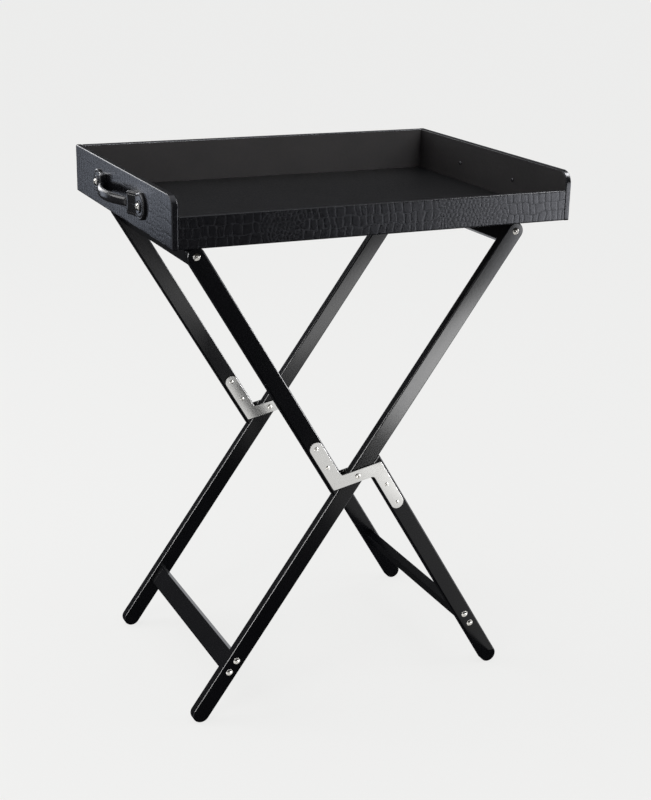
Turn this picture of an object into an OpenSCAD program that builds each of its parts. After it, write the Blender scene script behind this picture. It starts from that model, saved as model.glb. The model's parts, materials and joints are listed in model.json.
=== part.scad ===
// Folding tray table: a lift-off tray with two leather handles on a folding X-shaped stand.
// Millimetres, +Z up. The floor is z = 0, X runs along the tray's long side, and the low lip faces -Y.
// The stand has two flat X frames. In each, one straight leg passes through the middle, and two half
// legs butt against its sides. A pair of cranked steel plates carries the half legs and turns on a rivet.

/* [Tray] */
// Length of the tray along X
tray_w = 600; // [540:5:700]
// Depth of the tray along Y
tray_d = 446; // [400:2:520]
// Height of the back and side walls above the tray's underside
wall_h = 70; // [55:1:90]
// Height of the front lip above the tray's underside
lip_h = 43; // [30:1:50]
// Thickness of the walls and the lip
wall_t = 9; // [7:0.5:12]
// Thickness of the base board
base_t = 6; // [4:0.5:9]
// Thickness of the leather that lines the floor
liner_t = 1; // [0.5:0.1:2]
// Radius of the side walls' top front corners
corner_r = 18; // [8:1:25]

/* [Handles] */
// Height of the handles above the tray's underside
handle_h = 34.5; // [28:0.5:40]
// Distance from the tray's middle to the inner end of each leather tab
grip_half = 62; // [50:1:80]
// Distance from the tray's middle to each dome screw
tab_screw_y = 99; // [90:1:115]
// Distance from the tray's middle to each through bolt
tab_bolt_y = 79.5; // [74:0.5:84]
// Diameter of the tab's round end
tab_d = 37; // [30:1:44]
// Height of the tab where the grip enters it
tab_neck = 32; // [26:1:36]
// Thickness of the tab at its round end
tab_thin = 4; // [3:0.5:6]
// Thickness of the tab where the grip enters it
tab_thick = 10; // [8:0.5:14]
// How far the middle of the grip's core stands out from the wall
grip_out = 22; // [18:1:30]
// Width of the grip, up and down
grip_w = 14; // [12:0.5:18]
// Thickness of the grip, in and out
grip_t = 10; // [8:0.5:12]

/* [Stand] */
// Height of the tray's underside above the floor
stand_h = 723; // [715:1:735]
// Lean of the straight legs from vertical, in degrees
lean = 35.45; // [33:0.05:36]
// Distance from the pivot down to the centre of a leg's round foot
reach_down = 420; // [415:0.5:430]
// Distance from the pivot up to the centre of a leg's round top
reach_up = 424.5; // [410:0.5:430]
// How far the pivot lies to the right of the tray's middle, as the loose tray was set down
pivot_x = -4.2; // [-8:0.1:8]
// Width of a leg, seen from the front
leg_w = 26; // [22:1:30]
// Thickness of a leg, front to back
leg_t = 15; // [12:0.5:20]
// Distance between the outer faces of the front and rear legs
stand_span = 351; // [320:1:390]
// How far a half leg's centre line misses the pivot
leg_offset = 31.9; // [30:0.1:36]
// Thickness of the stretchers and the top rails
rail_t = 14; // [10:1:16]
// Width of a stretcher, along the leg
stretcher_w = 30; // [26:1:40]
// Distance from the pivot down the leg to the middle of a stretcher
stretcher_at = 335; // [320:0.5:360]
// How far a top rail reaches down the leg from its screw
rail_below = 22; // [16:1:30]
// How far a top rail reaches up the leg from its screw before its top is planed level
rail_above = 30; // [26:1:36]

/* [Hinge plates] */
// Thickness of a hinge plate
plate_t = 2; // [1.5:0.1:3]
// Width of a plate's two arms
plate_arm_w = 20.5; // [16:0.5:24]
// Distance along the half leg from the pivot to the end of a plate's arm
plate_reach = 88.5; // [80:0.5:100]
// Width of the bar that joins the arms across the pivot
plate_bar_w = 19; // [14:0.5:22]
// Tilt of the bar from level, in degrees
plate_bar_tilt = 11.5; // [8:0.5:14]
// Radius inside the plate's corners
plate_fillet_r = 6; // [4:0.5:8]
// Distance along the half leg from the pivot to the inner plate screw
plate_screw_near = 42; // [38:0.5:50]
// Distance along the half leg from the pivot to the outer plate screw
plate_screw_far = 78.5; // [70:0.5:80]

/* [Hardware] */
// Diameter of the dome screws that hold the stretchers and rails
dome_d = 10.5; // [8:0.5:12]
// Height of a dome screw's head
dome_h = 3; // [2:0.5:4]
// Distance between the two screws at a stretcher's end
dome_pitch = 20; // [16:1:22]
// Diameter of a countersunk plate screw's head
plate_screw_d = 6; // [5:0.5:7]
// Diameter of the pivot rivet's shaft
rivet_d = 6; // [5:0.5:8]
// Diameter of the pivot rivet's heads
rivet_head_d = 9; // [9:0.5:12]

/* [Hidden] */
$fn = 64;

leather = [0.12, 0.12, 0.13];
lining = [0.07, 0.07, 0.08];
lacquer = [0.05, 0.05, 0.06];
nickel = [0.80, 0.79, 0.76];
brass = [0.72, 0.58, 0.32];

tray_x = tray_w / 2;
tray_y = tray_d / 2;

// The pivot's height puts the round feet on the floor.
pivot_z = leg_w / 2 + reach_down * cos(lean);
// A half leg leans a little less, so that its foot also stands on the floor.
half_lean = lean - asin(leg_offset / reach_down);
half_down = sqrt(pow(reach_down, 2) - pow(leg_offset, 2));
half_up = (reach_up * cos(lean) + leg_offset * sin(half_lean)) / cos(half_lean);
// Angle between a straight leg and a half leg, and so the whole travel of the fold
spread = lean + half_lean;

// Gap between a half leg's inner end and the straight leg's side, where the stand's opening stops
stop_gap = 0.3;
// Gap on each face of a straight leg, so that the plates swing past it
swing_gap = 0.3;
// Gap between a pivot bush's ends and the plates, and round the rivet in its bore
running_gap = 0.05;
leg_y = stand_span / 2;
straight_t = leg_t - 2 * swing_gap;
half_inner = leg_y - leg_t;
straight_outer = leg_y - swing_gap;
straight_inner = half_inner + swing_gap;

// How far a cut runs past the surface that it opens
over = 1;

// A plate's arm lies this much nearer the pivot than the leg's centre line
plate_inset = 0.8;
plate_arm_at = leg_offset - plate_inset;
bush_d = 9;
rivet_head_h = 1;
dome_shank_d = 4;
dome_shank_l = 40;
// Depth of a dome screw's recess as a share of its head's height
recess_share = 0.45;
plate_shank_d = 3;
plate_shank_l = 6;
plate_recess = 0.8;
handle_z = stand_h + handle_h;
washer_d = 18;
washer_top_d = 16;
washer_hole_d = 9;
washer_t = 1.6;
tab_screw_l = 10;
tab_dome_d = 11.5;
tab_dome_h = 3.5;
bolt_d = 4;
bolt_head_d = 8;
bolt_head_h = 2.5;
bolt_cap_d = 6;
bolt_cap_h = 1.5;
// How far the grip's flat tongues run into the tabs
tongue_l = 12;
tongue_t = 5;
tongue_w = 12;
// How far a tongue starts inside the grip
tongue_root = 2;

// --- Placing ---

// A flat outline in the XZ plane, given thickness along Y from y_low upwards
module upright(y_low, thickness) {
    translate([0, y_low + thickness, 0])
        rotate([90, 0, 0])
        linear_extrude(thickness)
        children();
}

// The front frame (side = -1) or the rear frame (side = 1): children drawn for y > 0
module on_side(side) {
    if (side > 0) children();
    else mirror([0, 1, 0]) children();
}

// The left end of the tray is drawn, and the right end is its mirror image.
module on_end(end) {
    if (end < 0) children();
    else mirror([1, 0, 0]) children();
}

// A point on a straight leg: r up the leg from the pivot
function straight_at(r) = [pivot_x + r * sin(lean), pivot_z + r * cos(lean)];

// A point on a half leg's frame: s up the upper half leg, n out to the left of the pivot
function half_at(s, n) = [
    pivot_x - s * sin(half_lean) - n * cos(half_lean),
    pivot_z + s * cos(half_lean) - n * sin(half_lean)
];

// A round bar along Y through the point p = [x, z]
module bar_y(p, diameter, y_low, y_high) {
    translate([p[0], y_high, p[1]])
        rotate([90, 0, 0])
        cylinder(d = diameter, h = y_high - y_low);
}

// Children drawn with their axis on +Z, turned to face +Y (out = 1) or -Y (out = -1) on the plane y
module screw_out(p, y, out) {
    translate([p[0], y, p[1]]) rotate([-out * 90, 0, 0]) children();
}

// --- Screws, drawn with the head up and the seat at z = 0 ---

module cross_recess(size, depth, top) {
    for (turn = [0, 90])
        rotate(turn)
        translate([-size / 2, -size / 8, top - depth])
        cube([size, size / 4, depth + over]);
}

module dome_head(diameter, height) {
    ball_r = (pow(height, 2) + pow(diameter / 2, 2)) / (2 * height);
    intersection() {
        translate([0, 0, height - ball_r]) sphere(r = ball_r);
        cylinder(d = diameter, h = height);
    }
}

module dome_screw(diameter, height, shank_d, shank_l) {
    difference() {
        union() {
            dome_head(diameter, height);
            translate([0, 0, -shank_l]) cylinder(d = shank_d, h = shank_l + height / 2);
        }
        cross_recess(diameter / 2, height * recess_share, height);
    }
}

module countersunk(diameter, shank_d, shank_l) {
    head_h = (diameter - shank_d) / 2;
    translate([0, 0, -head_h]) cylinder(d1 = shank_d, d2 = diameter, h = head_h);
    translate([0, 0, -head_h - shank_l]) cylinder(d = shank_d, h = shank_l);
}

// --- Tray ---

module tray_base() {
    color(lining)
        translate([wall_t - tray_x, wall_t - tray_y, stand_h])
        cube([tray_w - 2 * wall_t, tray_d - 2 * wall_t, base_t]);
}

module tray_liner() {
    color(lining)
        translate([wall_t - tray_x, wall_t - tray_y, stand_h + base_t])
        cube([tray_w - 2 * wall_t, tray_d - 2 * wall_t, liner_t]);
}

// The side wall's outline in Y and Z, with a rounded top corner at the front
module side_outline() {
    difference() {
        translate([-tray_y, 0]) square([tray_d, wall_h]);
        translate([-tray_y, wall_h - corner_r]) square(corner_r);
    }
    translate([corner_r - tray_y, wall_h - corner_r]) intersection() {
        circle(r = corner_r);
        translate([-corner_r, 0]) square(corner_r);
    }
}

module side_wall(end) {
    color(leather) on_end(end) difference() {
        translate([-tray_x, 0, stand_h])
            rotate([90, 0, 90])
            linear_extrude(wall_t)
            side_outline();
        for (side = [-1, 1]) {
            on_wall(side * tab_bolt_y)
                translate([0, 0, -wall_t - over])
                cylinder(d = bolt_d, h = wall_t + 2 * over);
            on_wall(side * tab_screw_y)
                translate([0, 0, tab_thin - tab_screw_l])
                cylinder(d = dome_shank_d, h = tab_screw_l);
        }
    }
}

module left_wall() { side_wall(-1); }
module right_wall() { side_wall(1); }

module back_wall() {
    color(leather)
        translate([wall_t - tray_x, tray_y - wall_t, stand_h])
        cube([tray_w - 2 * wall_t, wall_t, wall_h]);
}

module front_lip() {
    color(leather)
        translate([wall_t - tray_x, -tray_y, stand_h])
        cube([tray_w - 2 * wall_t, wall_t, lip_h]);
}

// --- Handles ---

// Children drawn with +Z pointing out of the left wall, on its outer face at y
module on_wall(y) {
    translate([-tray_x, y, handle_z]) rotate([0, -90, 0]) children();
}

// How far the grip's ends stand proud of the tabs
grip_proud = 1;
// The bow's centre line is an arc from one tab to the other.
bow_end_out = tab_thick - grip_t / 2 + grip_proud;
bow_rise = grip_out - bow_end_out;
bow_r = (pow(grip_half, 2) + pow(bow_rise, 2)) / (2 * bow_rise);
bow_half_angle = asin(grip_half / bow_r);

// The grip's section, with round top and bottom edges
module grip_section() {
    union() {
        translate([-grip_t / 2, (grip_t - grip_w) / 2]) square([grip_t, grip_w - grip_t]);
        for (side = [-1, 1])
            translate([0, side * (grip_w - grip_t) / 2]) circle(d = grip_t);
    }
}

module handle_grip(end) {
    color(leather) on_end(end) union() {
        intersection() {
            translate([-tray_x - grip_out + bow_r, 0, handle_z])
                rotate([0, 0, 180 - bow_half_angle])
                rotate_extrude(angle = 2 * bow_half_angle, $fn = 96)
                translate([bow_r, 0])
                grip_section();
            translate([-tray_x - 2 * grip_out, -grip_half, handle_z - grip_w])
                cube([2 * grip_out, 2 * grip_half, 2 * grip_w]);
        }
        for (side = [-1, 1])
            translate([
                -tray_x - bow_end_out - tongue_t / 2,
                side > 0 ? grip_half - tongue_root : -grip_half - tongue_l,
                handle_z - tongue_w / 2
            ])
            cube([tongue_t, tongue_l + tongue_root, tongue_w]);
    }
}

module left_handle_grip() { handle_grip(-1); }
module right_handle_grip() { handle_grip(1); }

// A tab's outline in Y and Z, for y > 0: a round end, and a neck towards the grip
module tab_outline() {
    translate([tab_screw_y, 0]) circle(d = tab_d);
    translate([grip_half, -tab_neck / 2]) square([tab_screw_y - grip_half, tab_neck]);
}

// The tab's outline seen from above, thick at the grip and thin at the round end
module tab_wedge() {
    polygon([
        [-tray_x, grip_half],
        [-tray_x - tab_thick, grip_half],
        [-tray_x - tab_thin, tab_screw_y - washer_d / 2],
        [-tray_x - tab_thin, tab_screw_y + tab_d],
        [-tray_x, tab_screw_y + tab_d]
    ]);
}

module handle_tab() {
    difference() {
        intersection() {
            translate([-tray_x - tab_thick, 0, handle_z])
                rotate([90, 0, 90])
                linear_extrude(tab_thick)
                tab_outline();
            translate([0, 0, handle_z - tab_d])
                linear_extrude(2 * tab_d)
                tab_wedge();
        }
        translate([
            -tray_x - bow_end_out - tongue_t / 2,
            grip_half - over,
            handle_z - tongue_w / 2
        ])
            cube([tongue_t, tongue_l + over, tongue_w]);
        on_wall(tab_bolt_y) cylinder(d = bolt_head_d, h = bolt_head_h);
        on_wall(tab_screw_y)
            translate([0, 0, -over])
            cylinder(d = dome_shank_d, h = tab_thin + 2 * over);
    }
}

module handle_tabs(end) {
    color(leather) on_end(end)
        for (side = [-1, 1])
        on_side(side)
        handle_tab();
}

module left_handle_tabs() { handle_tabs(-1); }
module right_handle_tabs() { handle_tabs(1); }

module handle_washers(end) {
    color(nickel) on_end(end)
        for (side = [-1, 1])
        on_wall(side * tab_screw_y)
        translate([0, 0, tab_thin])
        difference() {
            cylinder(d1 = washer_d, d2 = washer_top_d, h = washer_t);
            translate([0, 0, -over]) cylinder(d = washer_hole_d, h = washer_t + 2 * over);
        }
}

module left_handle_washers() { handle_washers(-1); }
module right_handle_washers() { handle_washers(1); }

// The dome head sits on the washer, and a spigot under it fills the washer's hole.
module handle_screws(end) {
    color(nickel) on_end(end)
        for (side = [-1, 1])
        on_wall(side * tab_screw_y)
        translate([0, 0, tab_thin]) {
            translate([0, 0, washer_t])
                dome_screw(tab_dome_d, tab_dome_h, dome_shank_d, tab_screw_l);
            cylinder(d = washer_hole_d, h = washer_t);
        }
}

module left_handle_screws() { handle_screws(-1); }
module right_handle_screws() { handle_screws(1); }

// A bolt from under each tab, through the wall, to a low cap on the inside
module handle_bolts(end) {
    color(nickel) on_end(end)
        for (side = [-1, 1])
        on_wall(side * tab_bolt_y)
        union() {
            cylinder(d = bolt_head_d, h = bolt_head_h);
            translate([0, 0, -wall_t]) cylinder(d = bolt_d, h = wall_t + bolt_head_h / 2);
            translate([0, 0, -wall_t - bolt_cap_h]) cylinder(d = bolt_cap_d, h = bolt_cap_h);
        }
}

module left_handle_bolts() { handle_bolts(-1); }
module right_handle_bolts() { handle_bolts(1); }

// --- Straight legs, with what joins them: the frame that stays still ---

module straight_frame() {
    translate([pivot_x, pivot_z]) rotate(-lean) children();
}

module straight_leg(side) {
    color(lacquer) on_side(side) difference() {
        upright(straight_inner, straight_t) straight_frame() {
            translate([-leg_w / 2, -reach_down]) square([leg_w, reach_down + reach_up]);
            translate([0, reach_up]) circle(d = leg_w);
            translate([0, -reach_down]) circle(d = leg_w);
        }
        bar_y(straight_at(0), bush_d, straight_inner - over, straight_outer + over);
        bar_y(straight_at(reach_up), dome_shank_d, straight_inner - over, straight_outer + over);
        for (step = [-1, 1])
            bar_y(
                straight_at(-stretcher_at + step * dome_pitch / 2),
                dome_shank_d, straight_inner - over, straight_outer + over
            );
    }
}

module front_straight_leg() { straight_leg(-1); }
module rear_straight_leg() { straight_leg(1); }

module left_stretcher() {
    color(lacquer) difference() {
        upright(-straight_inner, 2 * straight_inner)
            straight_frame()
            translate([-rail_t / 2, -stretcher_at - stretcher_w / 2])
            square([rail_t, stretcher_w]);
        for (side = [-1, 1], step = [-1, 1])
            on_side(side) bar_y(
                straight_at(-stretcher_at + step * dome_pitch / 2),
                dome_shank_d, straight_outer - dome_shank_l, straight_inner + over
            );
    }
}

// Everything below the tray's underside, which planes a top rail level
module under_tray() {
    intersection() {
        children();
        translate([-tray_x, 0]) square([tray_w, stand_h]);
    }
}

module right_top_rail() {
    color(lacquer) difference() {
        upright(-straight_inner, 2 * straight_inner)
            under_tray()
            straight_frame()
            translate([-rail_t / 2, reach_up - rail_below])
            square([rail_t, rail_below + rail_above]);
        for (side = [-1, 1])
            on_side(side) bar_y(
                straight_at(reach_up),
                dome_shank_d, straight_outer - dome_shank_l, straight_inner + over
            );
    }
}

module pivot_bush(side) {
    color(brass) on_side(side) difference() {
        bar_y(straight_at(0), bush_d, half_inner + running_gap, leg_y - running_gap);
        bar_y(straight_at(0), rivet_d + 2 * running_gap, half_inner - over, leg_y + over);
    }
}

module front_pivot_bush() { pivot_bush(-1); }
module rear_pivot_bush() { pivot_bush(1); }

module left_stretcher_screws() {
    color(nickel)
        for (side = [-1, 1], step = [-1, 1])
        on_side(side)
        screw_out(straight_at(-stretcher_at + step * dome_pitch / 2), straight_outer, 1)
        dome_screw(dome_d, dome_h, dome_shank_d, dome_shank_l);
}

module right_rail_screws() {
    color(nickel)
        for (side = [-1, 1])
        on_side(side)
        screw_out(straight_at(reach_up), straight_outer, 1)
        dome_screw(dome_d, dome_h, dome_shank_d, dome_shank_l);
}

// --- Half legs, with what joins them: the frame that folds ---

// The upper half leg's own frame: +Y up the leg, with the pivot at the origin
module half_frame() {
    translate([pivot_x, pivot_z]) rotate(half_lean) children();
}

// The side of the straight leg, where a half leg's inner end is cut off
module butt_cut() {
    rotate(-spread)
        translate([-leg_w / 2 - stop_gap, -3 * leg_w])
        square([3 * leg_w, 6 * leg_w]);
}

module half_outline(length) {
    difference() {
        union() {
            translate([-leg_offset - leg_w / 2, -leg_w]) square([leg_w, length + leg_w]);
            translate([-leg_offset, length]) circle(d = leg_w);
        }
        butt_cut();
    }
}

// The plate screws' places along one half leg, and how far they reach into it
plate_screws = [plate_screw_near, plate_screw_far];
plate_pilot_l = plate_shank_l + (plate_screw_d - plate_shank_d) / 2 - plate_t;

module upper_leg(side) {
    color(lacquer) on_side(side) difference() {
        upright(half_inner, leg_t) half_frame() half_outline(half_up);
        bar_y(half_at(half_up, leg_offset), dome_shank_d, half_inner - over, leg_y + over);
        leg_screw_holes(1);
    }
}

module lower_leg(side) {
    color(lacquer) on_side(side) difference() {
        upright(half_inner, leg_t) half_frame() rotate(180) half_outline(half_down);
        for (step = [-1, 1])
            bar_y(
                half_at(-stretcher_at + step * dome_pitch / 2, -leg_offset),
                dome_shank_d, half_inner - over, leg_y + over
            );
        leg_screw_holes(-1);
    }
}

// Pilot holes for the plate screws, from both faces of the upper (way = 1) or lower (way = -1) leg
module leg_screw_holes(way) {
    for (s = plate_screws) {
        place = half_at(way * s, way * plate_arm_at);
        bar_y(place, plate_shank_d, leg_y - plate_pilot_l, leg_y + over);
        bar_y(place, plate_shank_d, half_inner - over, half_inner + plate_pilot_l);
    }
}

module front_upper_leg() { upper_leg(-1); }
module front_lower_leg() { lower_leg(-1); }
module rear_upper_leg() { upper_leg(1); }
module rear_lower_leg() { lower_leg(1); }

// Hinge plate. In the half legs' frame the arms run along Y at x = -+plate_arm_at, and the bar joins
// them through the pivot, turned by bar_turn from the X axis.
bar_turn = plate_bar_tilt - half_lean;
arm_in = plate_arm_at - plate_arm_w / 2;
arm_out = plate_arm_at + plate_arm_w / 2;
// Height of the bar's upper edge (edge = 1) or lower edge (edge = -1) at x
function bar_edge(x, edge) = x * tan(bar_turn) + edge * plate_bar_w / 2 / cos(bar_turn);

module plate_half() {
    arm_end = plate_reach - plate_arm_w / 2;
    difference() {
        union() {
            polygon([
                [0, bar_edge(0, -1)],
                [0, bar_edge(0, 1)],
                [-arm_in, bar_edge(-arm_in, 1)],
                [-arm_in, arm_end],
                [-arm_out, arm_end],
                [-arm_out, bar_edge(-arm_out, -1)]
            ]);
            translate([-plate_arm_at, arm_end]) circle(d = plate_arm_w);
            plate_fillet();
        }
        children();
    }
}

// The web that rounds the inside corner between the arm and the bar
module plate_fillet() {
    inside = 90 + bar_turn;
    corner = [-arm_in, bar_edge(-arm_in, 1)];
    run = plate_fillet_r / tan(inside / 2);
    along_bar = [cos(bar_turn), sin(bar_turn)];
    centre = [corner[0] + plate_fillet_r, corner[1] + run];
    difference() {
        polygon([corner, corner + run * along_bar, centre, corner + [0, run]]);
        translate(centre) circle(r = plate_fillet_r);
    }
}

module plate_outline() {
    plate_half();
    rotate(180) plate_half();
}

module hinge_plate(side, y_face, out) {
    // The face that carries the countersinks
    y_head = out > 0 ? y_face + plate_t : y_face;
    color(nickel) on_side(side) difference() {
        upright(y_face, plate_t) half_frame() plate_outline();
        bar_y(straight_at(0), rivet_d + 2 * running_gap, y_face - over, y_face + plate_t + over);
        for (way = [-1, 1], s = plate_screws)
            screw_out(half_at(way * s, way * plate_arm_at), y_head, out)
            countersunk(plate_screw_d, plate_shank_d, plate_t);
    }
}

module front_outer_plate() { hinge_plate(-1, leg_y, 1); }
module front_inner_plate() { hinge_plate(-1, half_inner - plate_t, -1); }
module rear_outer_plate() { hinge_plate(1, leg_y, 1); }
module rear_inner_plate() { hinge_plate(1, half_inner - plate_t, -1); }

module plate_screw_set(side) {
    color(nickel) on_side(side)
        for (way = [-1, 1], s = plate_screws, out = [-1, 1])
        screw_out(
            half_at(way * s, way * plate_arm_at),
            out > 0 ? leg_y + plate_t : half_inner - plate_t,
            out
        )
        difference() {
            countersunk(plate_screw_d, plate_shank_d, plate_shank_l);
            cross_recess(plate_screw_d / 2, plate_recess, 0);
        }
}

module front_plate_screws() { plate_screw_set(-1); }
module rear_plate_screws() { plate_screw_set(1); }

module pivot_rivet(side) {
    rim_d = rivet_head_d - rivet_head_h;
    y_low = half_inner - plate_t - rivet_head_h;
    y_high = leg_y + plate_t;
    color(nickel) on_side(side) union() {
        bar_y(straight_at(0), rivet_d, y_low, y_high + rivet_head_h);
        screw_out(straight_at(0), y_high, 1) cylinder(d1 = rivet_head_d, d2 = rim_d, h = rivet_head_h);
        screw_out(straight_at(0), y_low, 1) cylinder(d1 = rim_d, d2 = rivet_head_d, h = rivet_head_h);
    }
}

module front_pivot_rivet() { pivot_rivet(-1); }
module rear_pivot_rivet() { pivot_rivet(1); }

module right_stretcher() {
    color(lacquer) difference() {
        upright(-half_inner, 2 * half_inner)
            half_frame()
            translate([leg_offset - rail_t / 2, -stretcher_at - stretcher_w / 2])
            square([rail_t, stretcher_w]);
        for (side = [-1, 1], step = [-1, 1])
            on_side(side) bar_y(
                half_at(-stretcher_at + step * dome_pitch / 2, -leg_offset),
                dome_shank_d, leg_y - dome_shank_l, half_inner + over
            );
    }
}

module left_top_rail() {
    color(lacquer) difference() {
        upright(-half_inner, 2 * half_inner)
            under_tray()
            half_frame()
            translate([-leg_offset - rail_t / 2, half_up - rail_below])
            square([rail_t, rail_below + rail_above]);
        for (side = [-1, 1])
            on_side(side) bar_y(
                half_at(half_up, leg_offset),
                dome_shank_d, leg_y - dome_shank_l, half_inner + over
            );
    }
}

module right_stretcher_screws() {
    color(nickel)
        for (side = [-1, 1], step = [-1, 1])
        on_side(side)
        screw_out(half_at(-stretcher_at + step * dome_pitch / 2, -leg_offset), leg_y, 1)
        dome_screw(dome_d, dome_h, dome_shank_d, dome_shank_l);
}

module left_rail_screws() {
    color(nickel)
        for (side = [-1, 1])
        on_side(side)
        screw_out(half_at(half_up, leg_offset), leg_y, 1)
        dome_screw(dome_d, dome_h, dome_shank_d, dome_shank_l);
}

tray_base();
tray_liner();
back_wall();
left_wall();
right_wall();
front_lip();
left_handle_grip();
right_handle_grip();
left_handle_tabs();
right_handle_tabs();
left_handle_washers();
right_handle_washers();
left_handle_screws();
right_handle_screws();
left_handle_bolts();
right_handle_bolts();
front_straight_leg();
rear_straight_leg();
left_stretcher();
right_top_rail();
front_pivot_bush();
rear_pivot_bush();
left_stretcher_screws();
right_rail_screws();
front_upper_leg();
front_lower_leg();
rear_upper_leg();
rear_lower_leg();
front_outer_plate();
front_inner_plate();
rear_outer_plate();
rear_inner_plate();
front_plate_screws();
rear_plate_screws();
front_pivot_rivet();
rear_pivot_rivet();
right_stretcher();
left_top_rail();
right_stretcher_screws();
left_rail_screws();
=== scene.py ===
import json
import math
import random

import bmesh
import bpy
import numpy as np
from mathutils import Matrix, Vector
from mathutils.kdtree import KDTree


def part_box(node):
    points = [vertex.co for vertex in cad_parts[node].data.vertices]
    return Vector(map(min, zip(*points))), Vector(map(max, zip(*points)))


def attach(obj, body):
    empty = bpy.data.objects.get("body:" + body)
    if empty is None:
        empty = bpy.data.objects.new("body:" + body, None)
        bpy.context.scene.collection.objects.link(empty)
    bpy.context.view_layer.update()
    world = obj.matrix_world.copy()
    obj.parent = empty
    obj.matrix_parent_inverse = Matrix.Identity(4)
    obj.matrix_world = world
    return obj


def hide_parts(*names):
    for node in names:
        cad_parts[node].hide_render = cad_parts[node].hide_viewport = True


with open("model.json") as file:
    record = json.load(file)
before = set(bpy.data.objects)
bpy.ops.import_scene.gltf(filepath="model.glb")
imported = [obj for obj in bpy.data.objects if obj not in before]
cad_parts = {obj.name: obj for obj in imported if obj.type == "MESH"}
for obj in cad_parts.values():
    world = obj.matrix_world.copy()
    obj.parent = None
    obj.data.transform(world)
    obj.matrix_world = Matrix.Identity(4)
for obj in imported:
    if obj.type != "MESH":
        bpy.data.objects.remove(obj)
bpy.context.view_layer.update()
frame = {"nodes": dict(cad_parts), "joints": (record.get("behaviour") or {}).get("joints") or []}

# Lengths are in millimetres while meshes are made, and MM turns them into metres.
MM = 0.001
FAR = 1e3  # further than any two points of the object are apart
scene = bpy.context.scene


def span(node):
    """A CAD node's lowest and highest corners in millimetres."""
    low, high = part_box(node)
    return low / MM, high / MM


def sin_d(degrees):
    return math.sin(math.radians(degrees))


def cos_d(degrees):
    return math.cos(math.radians(degrees))


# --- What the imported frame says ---

wall_low, wall_high = span("left_wall")
lip_low, lip_high = span("front_lip")
base_low, base_high = span("tray_base")
liner_low, liner_high = span("tray_liner")
leg_low, leg_high = span("front_straight_leg")
half_low, half_high = span("front_upper_leg")
hinge = next(j for j in frame["joints"] if j["name"] == "stand_fold")
pivot_x, pivot_z = hinge["pos_m"][0] / MM, hinge["pos_m"][2] / MM

LEG_W = 26.0
TRAY_X = -wall_low.x
TRAY_Y = wall_high.y
UNDER = wall_low.z
TOP = wall_high.z
WALL_T = wall_high.x - wall_low.x
# The straight leg's lean and reaches, from the centres of its round ends.
foot_x, foot_z = leg_low.x + LEG_W / 2, leg_low.z + LEG_W / 2
head_x, head_z = leg_high.x - LEG_W / 2, leg_high.z - LEG_W / 2
LEAN = math.degrees(math.atan2(head_x - foot_x, head_z - foot_z))
REACH_DOWN = math.hypot(foot_x - pivot_x, foot_z - pivot_z)
REACH_UP = math.hypot(head_x - pivot_x, head_z - pivot_z)
LEG_OFFSET = 31.9  # from the pivot to a half leg's middle line
HALF_LEAN = LEAN - math.degrees(math.asin(LEG_OFFSET / REACH_DOWN))
HALF_DOWN = math.sqrt(REACH_DOWN ** 2 - LEG_OFFSET ** 2)
HALF_UP = (REACH_UP * cos_d(LEAN) + LEG_OFFSET * sin_d(HALF_LEAN)) / cos_d(HALF_LEAN)
SPREAD = LEAN + HALF_LEAN
BUTT = LEG_W / 2 + 0.3  # from the pivot to a half leg's cut end, just clear of the straight leg
STRAIGHT_OUT, STRAIGHT_IN = -leg_low.y, -leg_high.y
HALF_OUT, HALF_IN = -half_low.y, -half_high.y
PLATE_T = 2.0
RAIL_T = 14.0
RAIL_BELOW, RAIL_ABOVE = 22.0, 30.0  # a top rail's edges, from its screw along the leg
STRETCHER_AT = 335.0
STRETCHER_W = 30.0
DOME_PITCH = 20.0
SHARP = 0.8  # the corner radius where a half leg is sawn off
HAIR = 0.01  # keeps the two corners of a round end apart

PIVOT = Matrix.Translation((pivot_x * MM, 0, pivot_z * MM))
STRAIGHT = PIVOT @ Matrix.Rotation(math.radians(LEAN), 4, "Y")
HALF = PIVOT @ Matrix.Rotation(math.radians(-HALF_LEAN), 4, "Y")
STILL = Matrix.Identity(4)

# --- Node materials ---


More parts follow.
